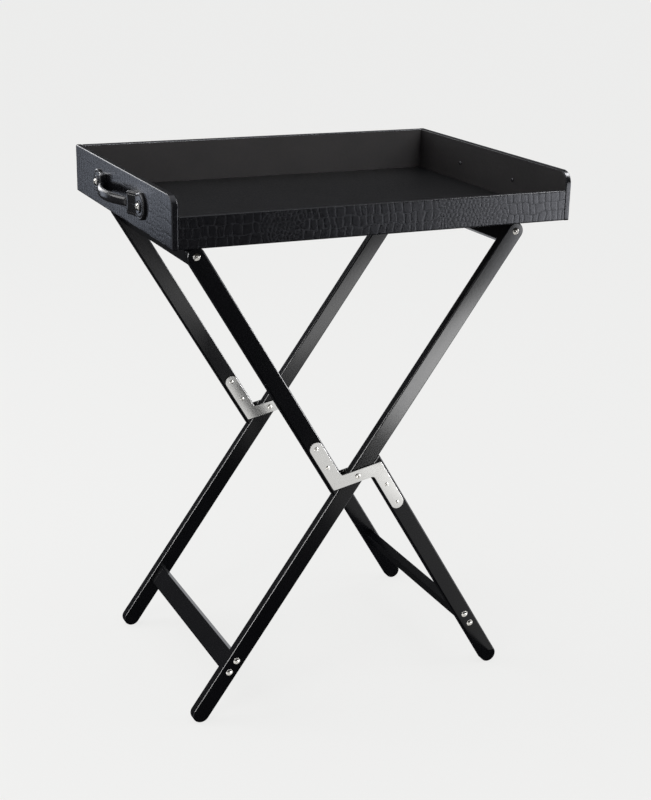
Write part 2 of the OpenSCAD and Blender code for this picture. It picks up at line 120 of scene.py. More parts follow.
class Graph:
    """A material's node tree, with short ways to add and join nodes."""

    def __init__(self, name, cad=False):
        """cad is for CAD nodes, whose meshes have no drawn_at attribute."""
        self.material = bpy.data.materials.new(name)
        self.material.use_nodes = True
        self.tree = self.material.node_tree
        self.shader = self.tree.nodes["Principled BSDF"]
        if cad:
            self.place = self.add("ShaderNodeTexCoord").outputs["Object"]
        else:
            self.place = self.add("ShaderNodeAttribute", attribute_name="drawn_at").outputs["Vector"]

    def add(self, kind, inputs=None, **settings):
        node = self.tree.nodes.new(kind)
        for key, value in settings.items():
            setattr(node, key, value)
        for key, value in (inputs or {}).items():
            if isinstance(value, bpy.types.NodeSocket):
                self.tree.links.new(value, node.inputs[key])
            else:
                node.inputs[key].default_value = value
        return node

    def stretched(self, scale, turn=(0, 0, 0)):
        return self.add("ShaderNodeMapping",
                        {"Vector": self.place, "Scale": scale, "Rotation": turn}).outputs["Vector"]

    def noise(self, scale, detail=3.0, rough=0.5, where=None):
        return self.add("ShaderNodeTexNoise",
                        {"Vector": where or self.place, "Scale": scale, "Detail": detail,
                         "Roughness": rough}).outputs["Fac"]

    def cells(self, scale, feature="F1"):
        return self.add("ShaderNodeTexVoronoi", {"Vector": self.place, "Scale": scale},
                        feature=feature).outputs["Distance"]

    def ramp(self, value, low, high, to_low, to_high):
        return self.add("ShaderNodeMapRange",
                        {"Value": value, "From Min": low, "From Max": high,
                         "To Min": to_low, "To Max": to_high}).outputs["Result"]

    def calc(self, operation, a, b):
        return self.add("ShaderNodeMath", {0: a, 1: b}, operation=operation).outputs["Value"]

    def attribute(self, name):
        return self.add("ShaderNodeAttribute", attribute_name=name).outputs["Fac"]

    def bump(self, height, distance, after=None):
        inputs = {"Height": height, "Distance": distance, "Strength": 1.0}
        if after:
            inputs["Normal"] = after
        return self.add("ShaderNodeBump", inputs).outputs["Normal"]

    def set(self, **sockets):
        for key, value in sockets.items():
            socket = self.shader.inputs[key.replace("_", " ")]
            if isinstance(value, bpy.types.NodeSocket):
                self.tree.links.new(value, socket)
            else:
                socket.default_value = value


def rgb(red, green, blue):
    return (red, green, blue, 1.0)


def mix_colors(graph, factor, a, b):
    """A Mix node for colours. Its sockets share their names with others, so they go by index."""
    node = graph.tree.nodes.new("ShaderNodeMix")
    node.data_type = "RGBA"
    for index, value in ((0, factor), (6, a), (7, b)):
        if isinstance(value, bpy.types.NodeSocket):
            graph.tree.links.new(value, node.inputs[index])
        else:
            node.inputs[index].default_value = value
    return node.outputs[2]


def leather_material(name, dark, light, roughness, grain_depth, gloss, tint=rgb(1, 1, 1)):
    """Black leather: pebbled grain, cloudy colour and, where the mesh has it, pressed creases, with
    painted shade darkening the creases and the pebbles' edges.
    """
    g = Graph(name)
    crease = g.attribute("crease")
    pebble = g.cells(950.0, "DISTANCE_TO_EDGE")
    wrinkle = g.noise(260.0, 4.0, 0.6)
    cloud = g.noise(14.0, 3.0, 0.55)
    pores = g.cells(2300.0)
    # Painted shade: the colour is darker in the pressed creases.
    tone = g.calc("SUBTRACT", g.ramp(cloud, 0.3, 0.7, 0.2, 0.9), g.calc("MULTIPLY", crease, 0.7))
    # Painted shade: the colour is darker at the pebbles' edges, where the grain dips.
    tone = g.calc("ADD", tone, g.ramp(pebble, 0.0, 0.25, -0.15, 0.1))
    g.set(Base_Color=mix_colors(g, tone, dark, light))
    rough = g.calc("ADD", g.ramp(wrinkle, 0.3, 0.7, roughness - 0.05, roughness + 0.06),
                   g.calc("MULTIPLY", crease, 0.12))
    g.set(Roughness=rough, Specular_IOR_Level=gloss, Specular_Tint=tint)
    normal = g.bump(g.ramp(pebble, 0.0, 0.3, 0.0, 1.0), grain_depth)
    normal = g.bump(wrinkle, grain_depth * 1.6, after=normal)
    normal = g.bump(pores, grain_depth * 0.4, after=normal)
    g.set(Normal=normal)
    return g.material


def lacquer_material():
    """Black satin lacquer: smooth, with a soft ripple and slightly rubbed patches."""
    g = Graph("black_lacquer")
    ripple = g.noise(38.0, 2.0, 0.5, g.stretched((1.0, 1.0, 0.35)))
    rub = g.noise(9.0, 4.0, 0.6)
    g.set(Base_Color=mix_colors(g, g.ramp(rub, 0.3, 0.7, 0.0, 1.0),
                                rgb(0.0028, 0.0029, 0.0038), rgb(0.0042, 0.0043, 0.0055)))
    g.set(Roughness=g.ramp(rub, 0.3, 0.7, 0.165, 0.20), Specular_IOR_Level=0.45)
    g.set(Normal=g.bump(ripple, 0.00008))
    return g.material


def metal_material(name, tint, shade, low, high, brushed, mark=0.08, cad=False):
    """Metal: fine lines from polishing, cloudy roughness from low to high and a few soft marks."""
    g = Graph(name, cad)
    lines = g.noise(1.0, 3.0, 0.7, g.stretched(brushed))
    cloud = g.noise(28.0, 2.0, 0.5)
    marks = g.noise(420.0, 2.0, 0.7)
    g.set(Base_Color=mix_colors(g, g.ramp(cloud, 0.3, 0.75, 0.0, 1.0), tint, shade), Metallic=1.0)
    g.set(Roughness=g.calc("ADD", g.ramp(cloud, 0.3, 0.7, low, high),
                           g.ramp(marks, 0.55, 0.8, 0.0, mark)))
    g.set(Normal=g.bump(lines, 0.000006))
    return g.material


def board_material():
    """Black-stained fibreboard: matt, with short matted fibres."""
    g = Graph("tray_board")
    fibres = g.noise(1.0, 5.0, 0.7, g.stretched((900.0, 260.0, 500.0), (0, 0, 0.5)))
    cloud = g.noise(11.0, 4.0, 0.6)
    tone = g.calc("ADD", g.ramp(cloud, 0.3, 0.7, 0.1, 0.6), g.ramp(fibres, 0.4, 0.7, 0.0, 0.4))
    g.set(Base_Color=mix_colors(g, tone, rgb(0.010, 0.0095, 0.009), rgb(0.030, 0.028, 0.026)))
    g.set(Roughness=g.ramp(fibres, 0.3, 0.7, 0.72, 0.9), Specular_IOR_Level=0.25)
    g.set(Normal=g.bump(fibres, 0.0002))
    return g.material


def thread_material():
    """Waxed black thread with the slant of its twist, its colour lighter on the twist's crests and
    darker in its grooves as painted shade.
    """
    g = Graph("waxed_thread")
    twist = g.add("ShaderNodeTexWave", {"Vector": g.place, "Scale": 900.0, "Distortion": 0.6},
                  bands_direction="DIAGONAL").outputs["Fac"]
    # Painted shade: the colour follows the twist's height, darker in its grooves.
    g.set(Base_Color=mix_colors(g, twist, rgb(0.010, 0.010, 0.011), rgb(0.035, 0.034, 0.036)))
    g.set(Roughness=g.ramp(twist, 0.0, 1.0, 0.5, 0.38), Normal=g.bump(twist, 0.00008))
    return g.material


CROC = leather_material("embossed_leather", rgb(0.0036, 0.0036, 0.0046),
                        rgb(0.0066, 0.0066, 0.0080), 0.22, 0.000014, 0.5, rgb(0.94, 0.95, 1.0))
LINING = leather_material("lining_leather", rgb(0.0048, 0.0048, 0.0055),
                          rgb(0.0100, 0.0100, 0.0112), 0.38, 0.00003, 0.34)
WALL_LINING = leather_material("wall_lining", rgb(0.0130, 0.0118, 0.0123),
                               rgb(0.0210, 0.0190, 0.0196), 0.62, 0.00002, 0.3)
HANDLE = leather_material("handle_leather", rgb(0.006, 0.006, 0.007),
                          rgb(0.014, 0.014, 0.016), 0.17, 0.000012, 0.7)
LACQUER = lacquer_material()
PLATE = metal_material("plate_nickel", rgb(0.86, 0.855, 0.83), rgb(0.82, 0.815, 0.79),
                       0.12, 0.15, (600.0, 600.0, 20.0), mark=0.02)
NICKEL = metal_material("nickel", rgb(0.84, 0.82, 0.77), rgb(0.70, 0.68, 0.63),
                        0.12, 0.18, (500.0, 500.0, 500.0))
# A darker copy of the nickel, its darkness a painted dark reflection, for the tab washers and the bolt
# caps inside the tray.
DARK_REFLECTION_NICKEL = metal_material("smoked_nickel", rgb(0.16, 0.16, 0.17), rgb(0.10, 0.10, 0.11),
                        0.18, 0.25, (500.0, 500.0, 500.0))
BRASS = metal_material("brass", rgb(0.80, 0.62, 0.30), rgb(0.62, 0.45, 0.20),
                       0.20, 0.32, (40.0, 900.0, 40.0), cad=True)
BOARD = board_material()
THREAD = thread_material()

# --- Mesh tools ---

finish_groups = {}  # the pieces of each finish, by the material's name


def circle(count):
    return [2 * math.pi * k / count for k in range(count)]


def smooth(t):
    """0 to 1 with level ends."""
    return t * t * (3 - 2 * t)


def piece(bm, name, material, body, slot, nodes, matrix=STILL, weighted=True):
    """Turns a bmesh in millimetres into an object that rides on a body and stands for CAD nodes."""
    bmesh.ops.recalc_face_normals(bm, faces=bm.faces)
    mesh = bpy.data.meshes.new(name)
    bm.to_mesh(mesh)
    bm.free()
    mesh.transform(Matrix.Scale(MM, 4))
    # Materials follow the piece as it was drawn, before it leans.
    drawn = np.zeros(len(mesh.vertices) * 3, np.float32)
    mesh.vertices.foreach_get("co", drawn)
    mesh.attributes.new("drawn_at", "FLOAT_VECTOR", "POINT").data.foreach_set("vector", drawn)
    mesh.transform(matrix)
    mesh.materials.append(material)
    mesh.shade_smooth()
    made = bpy.data.objects.new(name, mesh)
    scene.collection.objects.link(made)
    finish_groups.setdefault(material.name, []).append(made)
    if weighted:
        made.modifiers.new("normals", "WEIGHTED_NORMAL").keep_sharp = True
    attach(made, body)
    if nodes:
        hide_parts(*nodes)
    return made


def front_view(u, v, w):
    """u to the right, v up and w away from the viewer."""
    return Vector((u, w, v))


def rounded(corners):
    """A counter-clockwise outline from corners (u, v, radius), with each corner rounded."""
    per_turn = 48
    points = []
    count = len(corners)
    for i, (u, v, radius) in enumerate(corners):
        here = Vector((u, v))
        back = (Vector(corners[i - 1][:2]) - here).normalized()
        ahead = (Vector(corners[(i + 1) % count][:2]) - here).normalized()
        half = back.angle(ahead) / 2
        centre = here + (back + ahead).normalized() * radius / math.sin(half)
        start = here + back * radius / math.tan(half) - centre
        sweep = start.angle_signed(here + ahead * radius / math.tan(half) - centre)
        steps = max(2, round(abs(sweep) / (2 * math.pi) * per_turn))
        for k in range(steps + 1):
            turn = Matrix.Rotation(-sweep * k / steps, 2)
            points.append(centre + turn @ start)
    return points


def clipped(corners, normal, offset):
    """The part of a polygon where point . normal <= offset; new corners are sharp."""
    kept = []
    count = len(corners)
    for i in range(count):
        a, b = corners[i], corners[(i + 1) % count]
        da = a[0] * normal[0] + a[1] * normal[1] - offset
        db = b[0] * normal[0] + b[1] * normal[1] - offset
        if da <= 0:
            kept.append(a)
        if (da < 0 < db) or (db < 0 < da):
            t = da / (da - db)
            kept.append((a[0] + (b[0] - a[0]) * t, a[1] + (b[1] - a[1]) * t, SHARP))
    return kept


def offset_loop(points, distance, scale=(1.0, 1.0)):
    """A counter-clockwise loop moved outwards by distance, mitred; scale shares it between u and v."""
    moved = []
    count = len(points)
    for i, here in enumerate(points):
        a = (here - points[i - 1]).normalized()
        b = (points[(i + 1) % count] - here).normalized()
        na, nb = Vector((a.y, -a.x)), Vector((b.y, -b.x))
        step = (na + nb) / (1 + na.dot(nb)) * distance
        moved.append(here + Vector((step.x * scale[0], step.y * scale[1])))
    return moved


def bridge(bm, one, other):
    count = len(one)
    for i in range(count):
        j = (i + 1) % count
        bm.faces.new((one[i], one[j], other[j], other[i]))


def skin(bm, rings):
    for one, other in zip(rings, rings[1:]):
        bridge(bm, one, other)


def closed_skin(bm, rings):
    skin(bm, rings)
    bm.faces.new(rings[0])
    bm.faces.new(rings[-1])


def prism(outline, low, high, arris, holes=()):
    """A solid with this outline between w = low and high, its two rims rounded by arris.
    A hole is (u, v, radius at low, radius at high)."""
    steps, hole_sides = 4, 32
    bm = bmesh.new()
    rings = []
    for end, at, radius in ((1, low, arris[0]), (-1, high, arris[1])):
        for angle in [90.0 * k / steps for k in range(steps + 1)][::end]:
            loop = offset_loop(outline, -radius * (1 - sin_d(angle)))
            w = at + end * radius * (1 - cos_d(angle))
            rings.append([bm.verts.new(front_view(p.x, p.y, w)) for p in loop])
    skin(bm, rings)
    bores = []
    for u, v, r_low, r_high in holes:
        bores.append([[bm.verts.new(front_view(u + r * math.cos(t), v + r * math.sin(t), w))
                       for t in circle(hole_sides)] for r, w in ((r_low, low), (r_high, high))])
        bridge(bm, *bores[-1])
    for cap, index in ((rings[0], 0), (rings[-1], 1)):
        if not bores:
            bm.faces.new(cap)
            continue
        edges = []
        for loop in [cap] + [bore[index] for bore in bores]:
            for i, vert in enumerate(loop):
                edge = bm.edges.get((vert, loop[i - 1])) or bm.edges.new((vert, loop[i - 1]))
                # A hole's rim is a hard edge, so its wall doesn't shade the face round it.
                edge.smooth = loop is cap
                edges.append(edge)
        bmesh.ops.triangle_fill(bm, use_beauty=True, edges=edges)
    return bm


def turned_ring(bm, matrix, radius, height, segments):
    """Adds a ring of corners about +Z. height is a number, or gives one from x and y."""
    ring = []
    for t in circle(segments):
        x, y = radius * math.cos(t), radius * math.sin(t)
        ring.append(bm.verts.new(matrix @ Vector((x, y, height(x, y) if callable(height) else height))))
    return ring


def lathe(bm, profile, matrix, segments=40):
    """Adds a turned solid. profile is (radius, height), from axis to axis or back to its start."""
    rings = []
    for radius, height in profile:
        if radius <= 0:
            rings.append([bm.verts.new(matrix @ Vector((0, 0, height)))])
        else:
            rings.append(turned_ring(bm, matrix, radius, height, segments))
    for one, other in zip(rings, rings[1:]):
        if len(one) == len(other):
            bridge(bm, one, other)
            continue
        tip, ring = (one, other) if len(one) == 1 else (other, one)
        for i in range(segments):
            bm.faces.new((tip[0], ring[i], ring[(i + 1) % segments]))


def arc_profile(centre, radius, start, end, steps):
    """Profile points on an arc, angles in degrees from +r towards +z."""
    return [(centre[0] + radius * cos_d(start + (end - start) * k / steps),
             centre[1] + radius * sin_d(start + (end - start) * k / steps)) for k in range(steps + 1)]


def cross_head(bm, matrix, head, recess, shank):
    """Adds a screw with its seat at z = 0: a crowned head with a cross recess, and a shank below.
    head is its radius, crown and rim height, recess an arm's length, half width and depth, and
    shank its radius and length."""
    spokes, rounds = 72, 22
    side_run, end_run = 0.22, 0.45  # how far the recess takes to reach its depth
    radius, crown, rim = head
    arm, half_width, depth = recess
    thick, long = shank
    ball = (crown ** 2 + radius ** 2) / (2 * crown)

    def height(x, y):
        r2 = x * x + y * y
        top = rim + crown - ball + math.sqrt(max(ball * ball - r2, 0))
        inside = 0.0
        for along, across in ((abs(x), abs(y)), (abs(y), abs(x))):
            tapered = half_width * (1.25 - 0.55 * along / arm)
            edge = min((tapered - across) / side_run, (arm - along) / end_run)
            inside = max(inside, min(max(edge, 0.0), 1.0))
        return top - depth * inside * (1.0 - 0.25 * math.sqrt(r2) / arm)

    rings = [turned_ring(bm, matrix, radius * k / rounds, height, spokes) for k in range(1, rounds + 1)]
    tip = bm.verts.new(matrix @ Vector((0, 0, height(0, 0))))
    for i in range(spokes):
        bm.faces.new((tip, rings[0][i], rings[0][(i + 1) % spokes]))
    for r, z in ((radius, 0.0), (thick, 0.0), (thick, 1.0 - long), (thick * 0.3, -long)):
        rings.append(turned_ring(bm, matrix, r, z, spokes))
    skin(bm, rings)
    bm.faces.new(rings[-1])


def at_face(x, y, z, out, turn=0.0):
    """Puts something drawn about +Z on a face that looks along +Y (out = 1) or -Y (out = -1)."""
    return (Matrix.Translation((x, y, z)) @ Matrix.Rotation(math.radians(-90 * out), 4, "X")
            @ Matrix.Rotation(math.radians(turn), 4, "Z"))


def at_wall(end, y, z, out_x, turn=0.0):
    """Puts something drawn about +Z on a face at x = end * out_x that looks along end * X."""
    return (Matrix.Translation((end * out_x, y, z)) @ Matrix.Rotation(math.radians(90 * end), 4, "Y")
            @ Matrix.Rotation(math.radians(turn), 4, "Z"))


# --- Leather-covered walls ---


class Swell:
    """A smooth seeded ripple over a sheet, from a few slanted waves."""

    def __init__(self, seed, wavelength, height):
        draw = random.Random(seed)
        self.waves = []
        for _ in range(7):
            turn, length = draw.uniform(0, math.pi), wavelength * draw.uniform(0.6, 1.7)
            pace = 2 * math.pi / length
            self.waves.append((math.cos(turn) * pace, math.sin(turn) * pace,
                               draw.uniform(0, 2 * math.pi), height * draw.uniform(0.2, 0.45)))

    def at(self, u, v):
        return sum(a * np.sin(fu * u + fv * v + phase) for fu, fv, phase, a in self.waves)


def scales(u, v, width, height, seed, fine_zones):
    """How deep the creases are at each point, 0 to 1, and how far each scale domes up.
    Rows of broad belly scales cover the sheet, and small round scales fill the fine zones, each
    (middle, half its width) along u."""
    draw = random.Random(seed)
    bent_u = u + Swell(seed + 1, 42.0, 2.2).at(u, v)
    bent_v = v + Swell(seed + 2, 55.0, 1.8).at(u, v)
    belly_h, belly_w, margin = 17.0, (8.5, 15.0), 30.0
    row_h = height / max(2, round(height / belly_h))
    row = np.floor(bent_v / row_h).astype(int)
    in_row = bent_v - row * row_h
    to_row = np.minimum(in_row, row_h - in_row)
    to_side = np.full_like(u, FAR)
    for r in range(int(row.min()), int(row.max()) + 1):
        lines = [-margin]
        while lines[-1] < width + margin:
            lines.append(lines[-1] + draw.uniform(*belly_w))
        lines = np.array(lines)
        mask = row == r
        # Each row's side lines lean a little, so the scales aren't square.
        lean = draw.uniform(-0.10, 0.10)
        where = bent_u[mask] + in_row[mask] * lean
        right = np.clip(np.searchsorted(lines, where), 1, len(lines) - 1)
        to_side[mask] = np.minimum(where - lines[right - 1], lines[right] - where)
    sharp = 1.1
    belly = -np.log(np.exp(-sharp * to_row) + np.exp(-sharp * to_side)) / sharp
    middles = []
    pitch, stray = 6.2, 2.0
    for i in range(-2, int(width / pitch) + 3):
        for j in range(-2, int(height / pitch) + 3):
            middles.append((i * pitch + draw.uniform(-stray, stray) + (j % 2) * pitch / 2,
                            j * pitch + draw.uniform(-stray, stray), 0.0))
    zone = np.zeros_like(u)
    for centre, reach in fine_zones:
        edge = np.abs(bent_u - centre) - reach + 5.0 * np.sin(bent_v / 6.0 + centre)
        zone = np.maximum(zone, (edge < 0).astype(float))
    tree = KDTree(len(middles))
    for index, point in enumerate(middles):
        tree.insert(point, index)
    tree.balance()
    flank = np.full_like(u, FAR)
    for index in np.flatnonzero(zone > 0):
        near = tree.find_n((bent_u.flat[index], bent_v.flat[index], 0.0), 2)
        flank.flat[index] = (near[1][2] - near[0][2]) / 2
    distance = np.where(zone > 0, flank, belly)
    fine_crease, belly_crease, dome_reach = 0.75, 0.95, 3.5
    crease = smooth(1.0 - np.clip(distance / np.where(zone > 0, fine_crease, belly_crease), 0, 1))
    dome = np.clip(distance / dome_reach, 0, 1)
    return crease, 1 - (1 - dome) ** 2


def panel(name, width, height, thickness, place, corner=0.0, arris=1.6, ends=1.0, step=1.0,
          emboss=None, relief=1.0, swell=None, inside=None, **goes):
    """A covered board: u along its width, v up, w into it from the outer face. Its outer face is a
    fine grid, step apart, that carries the embossing or the swell. One top corner may be rounded.
    ends is the share of the arris that its two ends get, and inside a finish for its flat face."""
    w_span = width - 2 * arris * ends
    v_span = height - 2 * arris
    r_in = max(corner - arris, 0)
    columns = []
    if r_in:
        # Closer together where the corner is steep
        columns = [r_in * (1 - cos_d(a)) for a in np.linspace(0, 90, 19)[:-1]]
    columns += list(np.linspace(r_in, w_span, max(2, round((w_span - r_in) / step)) + 1))
    rows = max(2, round(v_span / step))
    tops = [v_span - r_in + math.sqrt(max(r_in ** 2 - (r_in - c) ** 2, 0)) if c < r_in else v_span
            for c in columns]
    us = np.array([[arris * ends + c for _ in range(rows + 1)] for c in columns])
    vs = np.array([[arris + top * i / rows for i in range(rows + 1)] for top in tops])
    crease, sink = np.zeros_like(us), np.zeros_like(us)
    if emboss:
        crease, dome = scales(us, vs, width, height, *emboss)
        crease_depth, dome_rise = 0.24, 0.07
        sink = relief * (crease_depth * crease + dome_rise * (1 - dome))
    if swell:
        sink = sink + swell.at(us, vs)
    bm = bmesh.new()
    layer = bm.verts.layers.float.new("crease")
    grid = []
    for i in range(len(columns)):
        line = []
        for j in range(rows + 1):
            vert = bm.verts.new(place(us[i, j], vs[i, j], sink[i, j]))
            vert[layer] = crease[i, j]
            line.append(vert)
        grid.append(line)
    for i in range(len(columns) - 1):
        for j in range(rows):
            bm.faces.new((grid[i][j], grid[i + 1][j], grid[i + 1][j + 1], grid[i][j + 1]))
    last = len(columns) - 1
    order = ([(i, 0) for i in range(last)] + [(last, j) for j in range(rows)]
             + [(i, rows) for i in range(last, 0, -1)] + [(0, j) for j in range(rows, 0, -1)])
    loop = [Vector((us[i, j], vs[i, j])) for i, j in order]
    deep = [sink[i, j] for i, j in order]
    rim = [grid[i][j] for i, j in order]
    steps = 5
    for side, at in ((1, 0.0), (-1, thickness)):
        angles = [90.0 * k / steps for k in range(steps + 1)]
        angles = angles[1:] if side > 0 else angles[::-1]
        for angle in angles:
            outer = offset_loop(loop, arris * sin_d(angle), (ends, 1.0))
            ring = []
            for q, d, (i, j) in zip(outer, deep, order):
                d = d * cos_d(angle) if side > 0 else 0.0
                vert = bm.verts.new(place(q.x, q.y, at + side * (arris * (1 - cos_d(angle)) + d)))
                vert[layer] = crease[i, j] * cos_d(angle) if side > 0 else 0.0
                ring.append(vert)
            bridge(bm, rim, ring)
            rim = ring
    bm.faces.new(rim).material_index = 1 if inside else 0
    made = piece(bm, name, **goes)
    if inside:
        made.data.materials.append(inside)


def tray():
    leather = {"material": CROC, "body": "tray", "slot": "tray_leather", "inside": WALL_LINING}
    depth, height, corner, butted = 2 * TRAY_Y, TOP - UNDER, 18.0, 0.2
    panel("left_wall_cover", depth, height, WALL_T,
          lambda u, v, w: Vector((-TRAY_X + w, u - TRAY_Y, UNDER + v)), corner=corner,
          emboss=(11, [(60.0, 26.0), (300.0, 45.0)]), relief=0.4, nodes=["left_wall"], **leather)
    panel("right_wall_cover", depth, height, WALL_T,
          lambda u, v, w: Vector((TRAY_X - w, u - TRAY_Y, UNDER + v)), corner=corner,
          emboss=(12, [(120.0, 35.0), (390.0, 30.0)]), relief=0.45, nodes=["right_wall"], **leather)
    width = lip_high.x - lip_low.x
    panel("front_lip_cover", width, lip_high.z - lip_low.z, WALL_T,
          lambda u, v, w: Vector((u + lip_low.x, -TRAY_Y + w, UNDER + v)), ends=butted,
          emboss=(13, [(145.0, 28.0), (430.0, 52.0)]), relief=0.28, nodes=["front_lip"], **leather)
    panel("back_wall_cover", width, height, WALL_T,
          lambda u, v, w: Vector((u + lip_low.x, TRAY_Y - w, UNDER + v)), ends=butted,
          emboss=(14, [(90.0, 40.0), (350.0, 60.0)]), relief=0.45, nodes=["back_wall"], **leather)
    size = liner_high - liner_low
    panel("floor_lining", *size,
          lambda u, v, w: Vector((u + liner_low.x, v + liner_low.y, liner_high.z - w)),
          arris=0.45, step=6.0, swell=Swell(21, 120.0, 0.10), material=LINING, body="tray",
          slot="lining_leather", nodes=["tray_liner"])
    size = base_high - base_low
    panel("base_board", *size,
          lambda u, v, w: Vector((u + base_low.x, v + base_low.y, base_low.z + w)),
          arris=0.8, step=12.0, swell=Swell(22, 200.0, 0.05), material=BOARD, body="tray",
          slot="tray_board", nodes=["tray_base"])


# --- Handles ---

DOME_RECESS = (2.2, 0.45, 0.9)
HANDLE_Z = sum(c.z for c in span("left_handle_screws")) / 2
SCREW_Y = 99.0
BOLT_Y = 79.5
GRIP_HALF = 62.0
TAB_R = 18.5
NECK_HALF = 16.0
TAB_THICK, TAB_THIN = 10.0, 4.0  # at the grip and round the screw
GRIP_OUT, GRIP_END_OUT = 22.0, 6.0  # from the wall to the grip's middle line
BOW_R = (GRIP_HALF ** 2 + (GRIP_OUT - GRIP_END_OUT) ** 2) / (2 * (GRIP_OUT - GRIP_END_OUT))
SEAM_AT = 0.12  # where a tab's stitching runs, as a share of the way in from its edge


def tab_thickness(u):
    thin_from = SCREW_Y - 11.0
    t = min(max((u - GRIP_HALF) / (thin_from - GRIP_HALF), 0), 1)
    return TAB_THICK + (TAB_THIN - TAB_THICK) * smooth(t)


def tab_inward(point, share):
    """A point of a tab's outline moved this share of the way to the tab's spine."""
    return point.lerp(Vector((min(max(point.x, GRIP_HALF + 9), SCREW_Y), 0)), share)


def bow(y):
    """How far from the wall the grip's middle line is at y."""
    return GRIP_OUT - BOW_R + math.sqrt(BOW_R ** 2 - y ** 2)


def stitch(bm, start, end, up):
    """Adds one stitch from start to end, arched away from the leather along up."""
    thick, arch, sunk, steps = 0.42, 0.30, 0.05, 8
    along = end - start
    side = along.cross(up).normalized()
    rings = []
    for k in range(steps + 1):
        t = k / steps
        r = thick * max(math.sin(math.pi * (0.06 + 0.88 * t)), 0.2) ** 0.5
        centre = start + along * t + up * (arch * math.sin(math.pi * t) - sunk)
        rings.append([bm.verts.new(centre + (side * math.cos(a) + up * math.sin(a)) * r)
                      for a in circle(8)])
    closed_skin(bm, rings)


def along_loop(points, pitch, length):
    """Pairs of points on a closed loop: where each stitch starts and ends."""
    total = sum((points[i] - points[i - 1]).length for i in range(len(points)))
    count = int(total / pitch)

    def at(distance):
        distance %= total
        for i in range(len(points)):
            a, b = points[i - 1], points[i]
            run = (b - a).length
            if distance <= run:
                return a + (b - a) * (distance / run)
            distance -= run
        return points[-1]

    return [(at(k * total / count), at(k * total / count + length)) for k in range(count)]


def handle(end, label):
    """One handle, on the wall at end * X. Its two tabs are mirror images."""
    leather = {"body": "tray", "slot": "handle_leather"}
    seams = bmesh.new()
    handle_tabs(end, label, seams, leather)
    handle_grip(end, label, seams, leather)
    piece(seams, f"{label}_handle_stitching", THREAD, nodes=[], weighted=False, **leather)
    handle_metal(end, label)


def tab_outline():
    """A tab seen from outside: square where it meets the grip, round about its screw."""
    joint = math.degrees(math.asin(NECK_HALF / TAB_R))
    cut, mid_cut = 2.5, 0.75  # the neck's corners are cut round
    outline = [Vector((GRIP_HALF, -NECK_HALF + cut)),
               Vector((GRIP_HALF + mid_cut, -NECK_HALF + mid_cut)),
               Vector((GRIP_HALF + cut, -NECK_HALF))]
    outline += [Vector((u, -NECK_HALF)) for u in np.linspace(GRIP_HALF + 5, SCREW_Y - 12, 9)]
    neck = len(outline)
    outline += [Vector((SCREW_Y + TAB_R * cos_d(a), TAB_R * sin_d(a)))
                for a in np.linspace(-180 + joint, 180 - joint, 49)]
    return outline + [Vector((p.x, -p.y)) for p in reversed(outline[:neck])]


def handle_tabs(end, label, seams, leather):
    outline = tab_outline()
    tabs = bmesh.new()
    arris, foot = 1.7, 0.5
    groove_depth, groove_half, neck_crown, end_crown = 0.45, 0.035, 0.7, 0.25
    for side in (-1, 1):
        def on_wall(point, out):
            return Vector((end * (TRAY_X + out), side * point.x, HANDLE_Z + point.y))

        rings = [[tabs.verts.new(on_wall(p, 0.0)) for p in offset_loop(outline, -foot)],
                 [tabs.verts.new(on_wall(p, foot)) for p in outline]]
        for angle in (90, 67.5, 45, 22.5, 0):
            ring = offset_loop(outline, -arris * (1 - sin_d(angle)))
            rings.append([tabs.verts.new(on_wall(p, tab_thickness(q.x) - arris * (1 - cos_d(angle))))
                          for p, q in zip(ring, outline)])
        flat = offset_loop(outline, -arris)
        for t in (0.05, 0.09, SEAM_AT, 0.15, 0.18, 0.24, 0.4, 0.6, 0.8, 0.95):
            groove = groove_depth * math.exp(-((t - SEAM_AT) / groove_half) ** 2)
            crown = neck_crown * (1 - (1 - t) ** 2)
            ring = []
            for p in flat:
                q = tab_inward(p, t)
                raised = crown if q.x < SCREW_Y - 14 else crown * end_crown
                ring.append(tabs.verts.new(on_wall(q, tab_thickness(q.x) + raised - groove)))
            rings.append(ring)
        closed_skin(tabs, rings)
        pitch, length, sunk = 4.3, 3.1, 0.2
        for a, b in along_loop([tab_inward(p, SEAM_AT) for p in flat], pitch, length):
            stitch(seams, on_wall(a, tab_thickness(a.x) - sunk),
                   on_wall(b, tab_thickness(b.x) - sunk), Vector((end, 0, 0)))
    piece(tabs, f"{label}_handle_tab_covers", HANDLE, nodes=[f"{label}_handle_tabs"], weighted=False,
          **leather)


